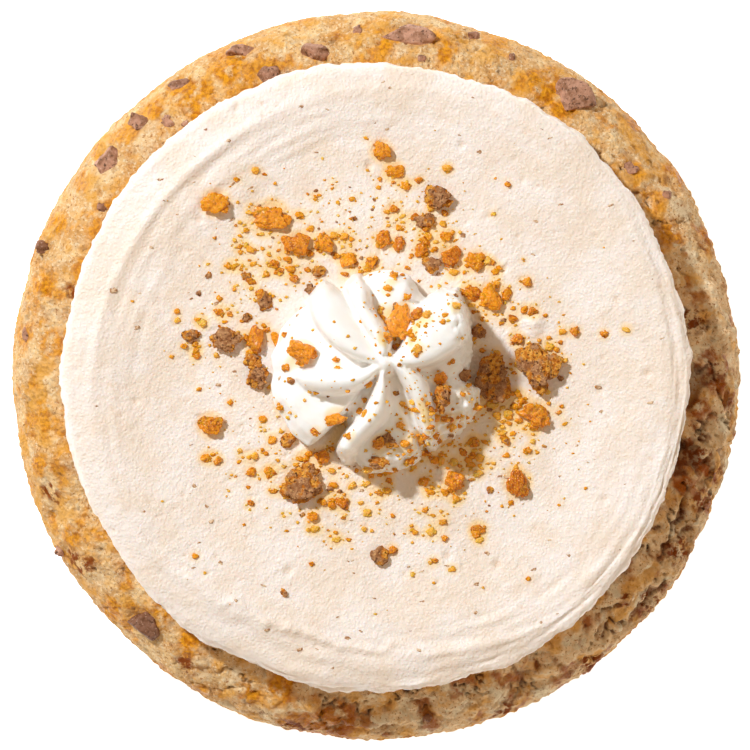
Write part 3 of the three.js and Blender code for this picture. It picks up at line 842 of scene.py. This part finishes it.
def unit_ball(fineness):
    ball = bmesh.new()
    bmesh.ops.create_icosphere(ball, subdivisions=fineness, radius=1)
    places = np.array([corner.co for corner in ball.verts])
    faces = [tuple(corner.index for corner in face.verts) for face in ball.faces]
    ball.free()
    return places, faces


def joined(shells):
    """Several shells, each with its places and faces, as the places and faces of one."""
    places, faces, start = [], [], 0
    for its_places, its_faces in shells:
        places.append(its_places)
        faces += [tuple(start + i for i in face) for face in its_faces]
        start += len(its_places)
    return np.vstack(places), faces


def read_points(mesh):
    """The places of a mesh's points, in millimetres, and the direction in which each one faces."""
    places, facing = np.zeros((2, len(mesh.vertices) * 3))
    mesh.vertices.foreach_get("co", places)
    mesh.vertices.foreach_get("normal", facing)
    return places.reshape(-1, 3) / MM, facing.reshape(-1, 3)


# %% Join them into one skin, with a ball of cream where the petals meet
shells = [petal_shell(petal) for petal in PETALS] + [lobes_shell()]
ball, ball_faces = unit_ball(4)
shells.append((ball * MEETING["size"] + MEETING["middle"], ball_faces))
places, faces = joined(shells)
rosette = new_piece("rosette_cream", places + (0, 0, FROSTING_MIDDLE), faces)
remesh = rosette.modifiers.new("one_skin", "REMESH")
remesh.mode = "VOXEL"
remesh.voxel_size = TINY_CUBE * MM
soften = rosette.modifiers.new("soften", "SMOOTH")
soften.factor = 0.5
soften.iterations = 5
ready = rosette.evaluated_get(bpy.context.evaluated_depsgraph_get())
skin = bpy.data.meshes.new_from_object(ready)
rosette.modifiers.clear()
rough_mesh, rosette.data = rosette.data, skin
bpy.data.meshes.remove(rough_mesh)
skin.name = "rosette_cream"

# %% Fray the torn edges and set it on the frosting
places, facing = read_points(skin)
x, y = (places[:, :2] - HEART).T
turned_to = np.degrees(np.arctan2(y, x)) % 360
outer = ramp(np.hypot(x, y), 10.5, 13.5)
torn_side = np.maximum(near(turned_to, 315, 50), near(turned_to, 10, 35))
fray = outer * torn_side * 0.5 * layered_noise(places, 1.0, 2, 211)
settle = 0.07 * layered_noise(places, 2.6, 2, 223)
places += facing * (fray + settle)[:, None]
places[:, 2] = np.maximum(places[:, 2], FROSTING_MIDDLE - 0.6)
skin.vertices.foreach_set("co", (places * MM).ravel())
skin.polygons.foreach_set("use_smooth", np.ones(len(skin.polygons), bool))
skin.update()

# %% The whipped cream's finish
whipped = Finish(
    "whipped_cream", Roughness=0.4, Subsurface_Weight=0.3, Subsurface_Radius=(1.0, 0.78, 0.66),
    Subsurface_Scale=0.9 * MM, Specular_IOR_Level=0.4, Coat_Weight=0.08, Coat_Roughness=0.3,
)
milky = whipped.mottle("fbf3e9", "fdf9f3", 5, 3, 0.3, 0.7)
buttered = whipped.tint("stained", milky, "fbd07c", 0.35, 1.0, 0.8)
whipped_cream = whipped.feed(Base_Color=buttered, Normal=whipped.bump(whipped.noise(1.2, 3), 0.05))
dress(rosette, whipped_cream, "whipped_cream", "rosette")

# %% [markdown]
# ## Broken lumps
# Toffee, biscuit and chocolate all break along flat faces that point every way. A ball is swollen
# unevenly and cut back by a handful of such faces, then roughened: a little for glassy toffee, a
# lot for porous biscuit. The large pieces stand where their solids stand. The small ones are joined,
# one piece for each kind, so that the scene stays light.

# %% A ball cut back to flat faces
BALLS = {fineness: unit_ball(fineness) for fineness in (1, 2, 3, 4, 5)}


def fitted(places, size):
    """Places brought about their own middle and to a size."""
    low, high = places.min(axis=0), places.max(axis=0)
    return (places - (low + high) / 2) / (high - low) * size


def broken_lump(size, random, fineness, kind):
    """Places of one lump about its own middle, in millimetres, and its faces."""
    directions, corners = BALLS[fineness]
    seed = int(random.integers(1, 9999))
    facing = random.normal(size=(kind["cuts"], 3))
    facing[0] = random.normal(size=3) * 0.15 + (0, 0, 1)
    facing /= np.linalg.norm(facing, axis=1)[:, None]
    depth = random.uniform(kind["deepest"], kind["deepest"] + 0.28, kind["cuts"])
    slant = np.clip(directions @ facing.T, 0, None) / depth
    reach = (1 + np.sum(slant ** kind["sharpness"], axis=1)) ** (-1 / kind["sharpness"])
    reach *= 1 + kind["bulge"] * smooth_noise(directions * 1.7 + seed % 89, seed)
    places = fitted(directions * reach[:, None], size)
    grain = kind["grain"]
    nearest, second, _ = nearest_seeds(places, grain, seed + 5)
    knobbly = 0.6 * (ramp(second - nearest, 0.0, 0.6) - 0.5) + 0.5 * layered_noise(places, grain, 2, seed)
    return places + directions * (kind["roughness"] * knobbly)[:, None], corners


def crumb(size, random, fineness, kind, grown_on):
    """A lump with smaller lumps grown onto its sides, all brought to one size."""
    size = np.array(size, float)
    shells = [broken_lump(size, random, fineness, kind)]
    for _ in range(grown_on):
        turned = random.uniform(0, TURN)
        beside = np.array([math.cos(turned), math.sin(turned), random.uniform(-0.6, 0.1)]) * size * 0.4
        share = random.uniform(0.3, 0.55)
        small, its_faces = broken_lump(size * share, random, max(1, fineness - 1), kind)
        shells.append((small + beside, its_faces))
    places, faces = joined(shells)
    return fitted(places, size), faces


# %% How each kind breaks
TOFFEE = {"cuts": 11, "deepest": 0.5, "sharpness": 16, "bulge": 0.35, "grain": 0.45, "roughness": 0.1}
BISCUIT = {"cuts": 9, "deepest": 0.55, "sharpness": 14, "bulge": 0.3, "grain": 0.6, "roughness": 0.32}
CHOCOLATE = {"cuts": 9, "deepest": 0.42, "sharpness": 26, "bulge": 0.12, "grain": 0.8, "roughness": 0.1}

# %% [markdown]
# ### Finishes for the lumps
# Toffee is boiled sugar: clear amber, glossy, and paler where it is thin. A piece of biscuit keeps a
# dull brown crust on top, over golden, granular sides. Chocolate that was baked in is dull, with a
# greyish bloom. Two masks help: "tone" belongs to each lump, from pale at 0 to dark at 1, and "level"
# rises from 0 at the foot of a lump to 1 at its top.

# %% Toffee
amber = Finish(
    "toffee_amber", Roughness=0.22, Subsurface_Weight=0.4, Subsurface_Radius=(1.0, 0.5, 0.04),
    Subsurface_Scale=0.6 * MM, Specular_IOR_Level=0.35, Coat_Weight=0.45, Coat_Roughness=0.05,
)
by_lump = amber.tint("tone", "ffbe4c", "f79c0a", 0.0, 0.4)
deeper = amber.tint("tone", by_lump, "d67800", 0.4, 1.0)
darker_lumps = amber.spread(amber.mask("tone"), 0.2, 0.7)
burnt_spots = amber.times(darker_lumps, amber.patches(0.6, 3, 0.48, 0.64, 0.8))
burnt = amber.blend(burnt_spots, deeper, "a84c00")
sugary = amber.mottle(burnt, "ffbc2c", 0.26, 2, 0.56, 0.66, 0.7)
toffee_amber = amber.feed(Base_Color=sugary, Normal=amber.bump(amber.noise(0.28, 3), 0.24))

# %% Biscuit
porous = Finish("biscuit_brown", Roughness=0.85, Specular_IOR_Level=0.3)
crust = porous.mottle("9a6136", "c08a5c", 0.8, 4, 0.38, 0.62)
golden_side = porous.mottle("c06c18", "eca53c", 0.6, 3, 0.4, 0.6)
uneven_level = porous.sum(porous.mask("level"), porous.spread(porous.noise(2.4, 3), 0.3, 0.7, -0.4, 0.4))
two_toned = porous.blend(porous.spread(uneven_level, 0.6, 0.8), golden_side, crust)
grainy = porous.mottle(two_toned, "f0bd78", 0.35, 3, 0.56, 0.7, 0.7)
# Painted shade: dark spots stand in for the shade in pores that the shape does not have.
biscuit_pore_shade = porous.mottle(grainy, "4c2206", 0.5, 3, 0.44, 0.34, 0.9)
biscuit_brown = porous.feed(Base_Color=biscuit_pore_shade, Normal=porous.bump(porous.noise(0.3, 4, 0.7), 0.25))

# %% Chocolate
bloomed = Finish("chocolate_bloomed", Roughness=0.55, Specular_IOR_Level=0.35)
mauve = bloomed.mottle("906040", "c28e70", 1.6, 4, 0.38, 0.62)
darker_by_tone = bloomed.tint("tone", mauve, "6a4024", 0.6, 1.0, 0.75)
dusty = bloomed.mottle(darker_by_tone, "dab499", 0.3, 3, 0.58, 0.7, 0.7)
# Painted shade: dark spots stand in for the shade in pores that the shape does not have.
chocolate_pore_shade = bloomed.mottle(dusty, "4e2c16", 0.5, 3, 0.44, 0.34, 0.85)
chocolate_bloomed = bloomed.feed(Base_Color=chocolate_pore_shade, Normal=bloomed.bump(bloomed.noise(0.35, 4), 0.22))

# %% The large pieces, each in its solid's place
# How each stuff breaks, its finish and its slot
toffee = (TOFFEE, toffee_amber, "toffee")
biscuit = (BISCUIT, biscuit_brown, "biscuit")
chocolate = (CHOCOLATE, chocolate_bloomed, "chocolate")
# The name of the solids, their stuff, how many lumps are grown onto each, and how much wider it is
LARGE = [
    ("toffee_crumb", toffee, 3, 1.0),
    ("biscuit_crumb", biscuit, 3, 1.0),
    ("chocolate_piece", chocolate, 0, 1.03),
]
DARK_BELOW = -10
melted = []
for name, (kind, material, slot), grown_on, wider in LARGE:
    for node in sorted(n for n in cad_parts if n.startswith(name)):
        low, high = (np.array(corner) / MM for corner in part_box(node))
        random = np.random.default_rng([len(name), int(node.split("_")[-1])])
        places, faces = crumb((high - low) * (wider, wider, 1), random, 5, kind, grown_on)
        piece = new_piece(node + "_look", places + (low + high) / 2, faces)
        # Pieces that lie lower than DARK_BELOW in y get the darkest tone, the others a random one.
        tone = random.uniform(0.4, 0.8) if low[1] > DARK_BELOW else 1.0
        store_mask(piece, "tone", np.full(len(places), tone))
        store_mask(piece, "level", 0.5 + places[:, 2] / (high - low)[2])
        dress(piece, material, slot, node)
        if slot == "toffee":
            melted.append((*((low + high) / 2)[:2], max((high - low)[:2])))

# %% [markdown]
# ## Crumbs, grains and dust
# The crumbs were shaken over the middle from above. They lie thickly on and around the rosette and
# thin out towards the lip. The larger ones are placed one by one, after the reference view, and the
# rest fall at random in drifts. Each is dropped straight down onto whatever is there.

# %% Find what lies under a place
def ground_of(*pieces):
    """The surfaces of some pieces, in millimetres, ready to be hit from above."""
    meshes = [piece.data for piece in pieces]
    shells = [([v.co / MM for v in mesh.vertices], [f.vertices for f in mesh.polygons]) for mesh in meshes]
    places, faces = joined(shells)
    return BVHTree.FromPolygons(places.tolist(), faces)


on_top = ground_of(frosting, rosette)
on_rim = ground_of(cookie)
HIGH_ABOVE = 90


def drop(ground, x, y):
    """Where something that falls at x and y lands, and which way the ground faces there."""
    hit, facing, _, _ = ground.ray_cast(Vector((x, y, HIGH_ABOVE)), Vector((0, 0, -1)))
    return np.array(hit), np.array(facing)


# Lumps longer than each length get this fineness
FINENESS = ((1.7, 4), (1.0, 3), (0.5, 2), (0.0, 1))
SOME_GROWN_ON = 0.6
MORE_GROWN_ON = 1.3


def scatter(name, ground, crumbs, stuff, random, tone=(0.3, 0.8), sunk=0.3):
    """One piece of many lumps. crumbs holds x, y, length and width for each, in millimetres."""
    kind, material, slot = stuff
    shells, tones, levels = [], [], []
    for x, y, length, width in crumbs:
        fineness = next(fineness for longer_than, fineness in FINENESS if length > longer_than)
        thick = min(length, width) * random.uniform(0.5, 0.7)
        finer = {**kind, "grain": min(kind["grain"], length * 0.4)}
        finer["roughness"] = kind["roughness"] * min(1, length / 3)
        grown_on = 0
        if length > SOME_GROWN_ON:
            fewest = int(length > MORE_GROWN_ON)
            grown_on = int(random.integers(fewest, fewest + 3))
        lump, faces = crumb((length, width, thick), random, fineness, finer, grown_on)
        lean = random.uniform(-0.5, 0.5)
        cosine, sine = math.cos(lean), math.sin(lean)
        turn = np.array([[cosine, -sine, 0], [sine, cosine, 0], [0, 0, 1]])
        hit, facing = drop(ground, x, y)
        shells.append((lump @ turn.T + hit + facing * thick * (0.5 - sunk), faces))
        tones.append(np.full(len(lump), random.uniform(*tone)))
        levels.append(0.5 + lump[:, 2] / thick)
        if slot == "toffee":
            melted.append((x, y, length))
    piece = new_piece(name, *joined(shells))
    store_mask(piece, "tone", np.concatenate(tones))
    store_mask(piece, "level", np.concatenate(levels))
    return dress(piece, material, slot)


# %% Toffee crumbs placed one by one
TOFFEE_CRUMBS = [
    (0.9, 34.5, 3.4, 2.8), (2.9, 31.4, 3.1, 2.0), (-8.0, 20.5, 3.1, 3.4), (-4.3, 17.9, 2.6, 2.2),
    (-0.5, 17.4, 2.2, 2.0), (1.2, 21.0, 2.3, 3.1), (3.5, 20.2, 1.8, 2.8), (7.1, 19.4, 2.2, 2.5),
    (10.8, 21.4, 2.0, 1.6), (11.5, 18.4, 3.1, 3.8), (15.5, 17.6, 3.1, 3.4), (6.6, 30.0, 1.3, 1.1),
    (20.3, 29.4, 1.0, 1.0), (-26.1, -12.7, 1.8, 1.4), (-24.3, -13.0, 1.6, 1.2), (14.8, 12.5, 2.8, 2.6),
    (12.1, -16.1, 3.4, 3.4), (-8.3, -12.5, 2.6, 2.4), (-5.2, -19.6, 2.3, 2.0), (-9.7, -21.6, 1.8, 1.6),
    (2.6, -26.8, 1.6, 1.3), (15.7, -23.6, 2.3, 1.4), (10.6, -25.0, 1.2, 1.1), (-19.2, -19.6, 1.2, 1.1),
    (9.1, -28.5, 1.3, 0.8), (-9.8, -29.0, 0.9, 0.8), (-27.7, -27.7, 1.2, 0.9), (30.6, 6.8, 1.6, 1.6),
    (28.4, 5.1, 0.9, 0.8), (24.1, 9.9, 1.8, 1.4), (21.7, 5.6, 2.1, 1.6), (0.9, -10.1, 2.4, 1.8),
    (-6.1, -6.5, 3.6, 1.8), (20.2, 12.6, 1.6, 2.4), (-19.4, 14.6, 1.4, 1.2), (6.0, 24.4, 1.6, 1.2),
    (-18.6, 5.5, 3.2, 4.6), (-15.2, 5.6, 1.6, 2.6), (9.8, -0.6, 2.0, 2.4), (-13.6, 1.2, 1.5, 1.4),
    (4.6, 6.0, 1.8, 1.6), (6.4, 9.0, 2.0, 2.8),
]
random = np.random.default_rng(41)
scatter("toffee_crumbs_small", on_top, TOFFEE_CRUMBS, toffee, random, tone=(0.45, 0.9))

# %% Biscuit crumbs placed one by one
BISCUIT_CRUMBS = [
    (7.5, 23.9, 3.4, 2.2), (8.6, 17.0, 3.1, 2.8), (-8.8, 16.1, 2.2, 2.0), (-9.7, 13.1, 2.0, 1.8),
    (-17.1, 11.5, 2.5, 3.1), (-19.8, 9.0, 1.7, 1.5), (-20.0, 15.3, 1.7, 1.5), (-28.4, 6.1, 3.1, 2.2),
    (-19.1, 2.5, 3.0, 2.4), (15.7, 6.8, 2.6, 2.4), (13.1, 0.2, 2.6, 2.4), (0.6, -27.6, 3.1, 3.1),
    (-14.1, -33.4, 1.4, 1.2), (-13.4, -9.9, 2.8, 2.4), (20.0, -10.1, 1.4, 1.2), (0.5, -13.1, 3.4, 2.4),
    (3.1, 10.1, 1.5, 2.2), (17.6, -17.6, 1.2, 1.2), (-12.9, -0.8, 1.3, 1.2), (2.2, -9.9, 3.0, 2.4),
]
random = np.random.default_rng(43)
scatter("biscuit_crumbs_small", on_top, BISCUIT_CRUMBS, biscuit, random)

# %% Grains and dust that fell at random
CLEAR_OF_EDGE = 6
# The x and y of each drift, how far it spreads, and its share
DRIFTS = [
    (-19.5, 19.0, 4.5, 3), (-9.0, 20.5, 5.5, 4), (0.5, 21.5, 5.0, 4), (9.0, 20.5, 4.5, 4),
    (16.0, 13.0, 3.6, 3), (24.5, 2.5, 4.5, 3), (20.5, -11.0, 5.0, 3), (8.0, -20.0, 5.0, 3),
    (-5.5, -18.0, 5.0, 4), (-16.5, -11.5, 5.0, 3), (-22.0, 8.0, 5.0, 3), (5.0, 8.0, 3.0, 2),
    (4.0, -3.0, 6.0, 3), (8.0, -5.0, 4.0, 3), (0.0, 1.0, 18.0, 3), (11.0, -13.5, 4.0, 3),
    (18.0, -5.0, 3.6, 3), (4.0, 7.0, 1.8, 1), (6.0, -10.0, 2.6, 2),
]


def shaken(random, count, smallest, largest):
    """Crumbs that lie in the drifts: many small ones, and few large ones."""
    shares = np.array([drift[3] for drift in DRIFTS], float)
    crumbs = []
    while len(crumbs) < count:
        x, y, spread, _ = DRIFTS[random.choice(len(DRIFTS), p=shares / shares.sum())]
        x, y = x + spread * random.normal(), y + spread * random.normal()
        if math.hypot(x, y) < FROSTING_RADIUS - CLEAR_OF_EDGE:
            length = smallest * (largest / smallest) ** (random.uniform() ** 1.4)
            crumbs.append((x, y, length, length * random.uniform(0.5, 1.0)))
    return crumbs


random = np.random.default_rng(47)
grains = shaken(random, count=640, smallest=0.55, largest=1.75)
scatter("toffee_grains", on_top, grains, toffee, random, tone=(0.05, 0.75), sunk=0.36)
dust = shaken(random, count=1050, smallest=0.25, largest=0.65)
scatter("toffee_dust", on_top, dust, toffee, random, tone=(0.0, 0.35), sunk=0.44)
brown_grains = shaken(random, count=60, smallest=0.4, largest=1.2)
scatter("biscuit_grains", on_top, brown_grains, biscuit, random)

# %% Flecks that were stirred into the frosting, most of them half covered
covered = Finish("covered_fleck", Roughness=0.6, Specular_IOR_Level=0.4)
covered_fleck = covered.feed(Base_Color=covered.mottle("a8754a", "dfbd96", 0.5, 2, 0.4, 0.6))
FLECKS = 120
INNER, OUTER = 14, 46
random = np.random.default_rng(59)
flecks = []
while len(flecks) < FLECKS:
    x, y = random.uniform(-OUTER, OUTER, 2)
    if INNER < math.hypot(x, y) < OUTER:
        length = random.uniform(0.4, 1.3)
        flecks.append((x, y, length, length * random.uniform(0.3, 0.7)))
scatter("frosting_flecks", on_top, flecks, (BISCUIT, covered_fleck, "biscuit"), random, sunk=0.7)

# %% Small chocolate pieces in the rim
CHOCOLATE_BITS = [
    (-32.3, 39.6, 2.2, 2.0), (-29.5, 39.2, 1.6, 1.3), (-2.8, 54.0, 1.6, 1.6), (15.4, 53.0, 1.9, 1.8),
    (21.3, 49.7, 1.2, 1.2), (7.2, 49.3, 1.4, 1.2), (-51.9, 20.1, 2.3, 2.2), (-42.6, 26.2, 1.6, 1.4),
    (39.4, 32.1, 2.8, 2.2), (45.4, 28.2, 1.6, 1.4), (8.1, -53.6, 1.6, 1.4), (-49.4, -27.4, 1.8, 1.8),
    (-54.6, 6.3, 1.2, 2.7),
]
random = np.random.default_rng(53)
scatter("chocolate_bits", on_rim, CHOCOLATE_BITS, chocolate, random)

# %% [markdown]
# ### Butter stains
# Melting toffee leaves a warm, yellow halo in the cream round every toffee crumb. The halo is a mask
# on the frosting and on the rosette, strongest next to a crumb.

# %% Stain the cream round the crumbs
LEAST_THAT_STAINS = 0.4
STRONGEST_STAIN = 0.75
HALO_WIDTH = 1.2


def stain(piece):
    """Stores how strongly the cream is stained at each point that faces up."""
    places, facing = read_points(piece.data)
    across, along = places[:, :2].T
    clear = np.ones(len(across))
    for x, y, length in melted:
        if length > LEAST_THAT_STAINS:
            halo = ramp(np.hypot(across - x, along - y), length * 0.5 + HALO_WIDTH, length * 0.35)
            clear *= 1 - min(STRONGEST_STAIN, 0.08 + length * 0.35) * halo
    store_mask(piece, "stained", (1 - clear) * ramp(facing[:, 2], 0.3, 0.75))


stain(frosting)
stain(rosette)

# %% [markdown]
# ## The studio
# The view is straight down from well above, so the cookie fills the square. One lamp stands at the
# upper left, half way up the sky, and a warm surround fills the shadows. The floor is a white table
# lit from below, which keeps the ground white and lights the rim from outside.

# %% Floor, camera and lamps
floor_mesh = bpy.data.meshes.new("pale_floor")
floor_mesh.from_pydata([(-2, -2, 0), (2, -2, 0), (2, 2, 0), (-2, 2, 0)], [], [(0, 1, 2, 3)])
floor = bpy.data.objects.new("pale_floor", floor_mesh)
bpy.context.scene.collection.objects.link(floor)
pale = Finish(
    "pale_floor", Roughness=0.8, Specular_IOR_Level=0.2, Emission_Strength=0.85,
    Emission_Color=(0.94, 0.97, 1.0, 1.0),
)
floor_mesh.materials.append(pale.feed(Base_Color=pale.mottle("fbfbfa", "ffffff", 60, 2, 0.3, 0.7)))
floor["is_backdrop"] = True

CAMERA_HEIGHT = 750 * MM
FRAME_WIDTH = 118.1 * MM
FRAME_LEVEL = 8 * MM
SENSOR_WIDTH = 36
camera_data = bpy.data.cameras.new("from_above")
camera_data.sensor_width = SENSOR_WIDTH
camera_data.lens = SENSOR_WIDTH * (CAMERA_HEIGHT - FRAME_LEVEL) / FRAME_WIDTH
camera = bpy.data.objects.new("from_above", camera_data)
camera.location = (-0.1 * MM, 0.1 * MM, CAMERA_HEIGHT)
bpy.context.scene.collection.objects.link(camera)
bpy.context.scene.camera = camera


def lamp(name, direction, distance, size, power, tint):
    """A round lamp that stands in a direction from the cookie and faces it, in metres and watts."""
    data = bpy.data.lights.new(name, "AREA")
    data.shape = "DISK"
    data.size = size
    data.energy = power
    data.color = tint
    placed = bpy.data.objects.new(name, data)
    towards = Vector(direction).normalized()
    placed.location = towards * distance
    placed.rotation_mode = "QUATERNION"
    placed.rotation_quaternion = towards.to_track_quat("Z", "Y")
    bpy.context.scene.collection.objects.link(placed)


lamp("key_lamp", (-0.7, 0.7, 1.03), distance=1.2, size=0.08, power=14.6, tint=(0.86, 0.95, 1.06))
lamp("fill_lamp", (0.6, -0.5, 0.8), distance=1.4, size=0.9, power=3.0, tint=(1.0, 0.86, 0.7))
world = bpy.data.worlds.new("pale_surround")
world.use_nodes = True
surround = world.node_tree.nodes["Background"].inputs
surround["Color"].default_value = (1.0, 0.82, 0.63, 1)
surround["Strength"].default_value = 0.32
bpy.context.scene.world = world
bpy.context.scene.view_settings.view_transform = "Standard"

# %% Print the box of the imported solids and of what is shown, and finish
shown_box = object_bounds()
made = [o for o in bpy.context.scene.objects if o.type == "MESH" and o is not floor and not o.hide_render]
print("triangles in all:", sum(triangles(piece) for piece in made))
for title, box in (("cad box:", cad_box), ("shown box:", shown_box)):
    print(title, [round(x / MM, 1) for corner in box for x in corner])
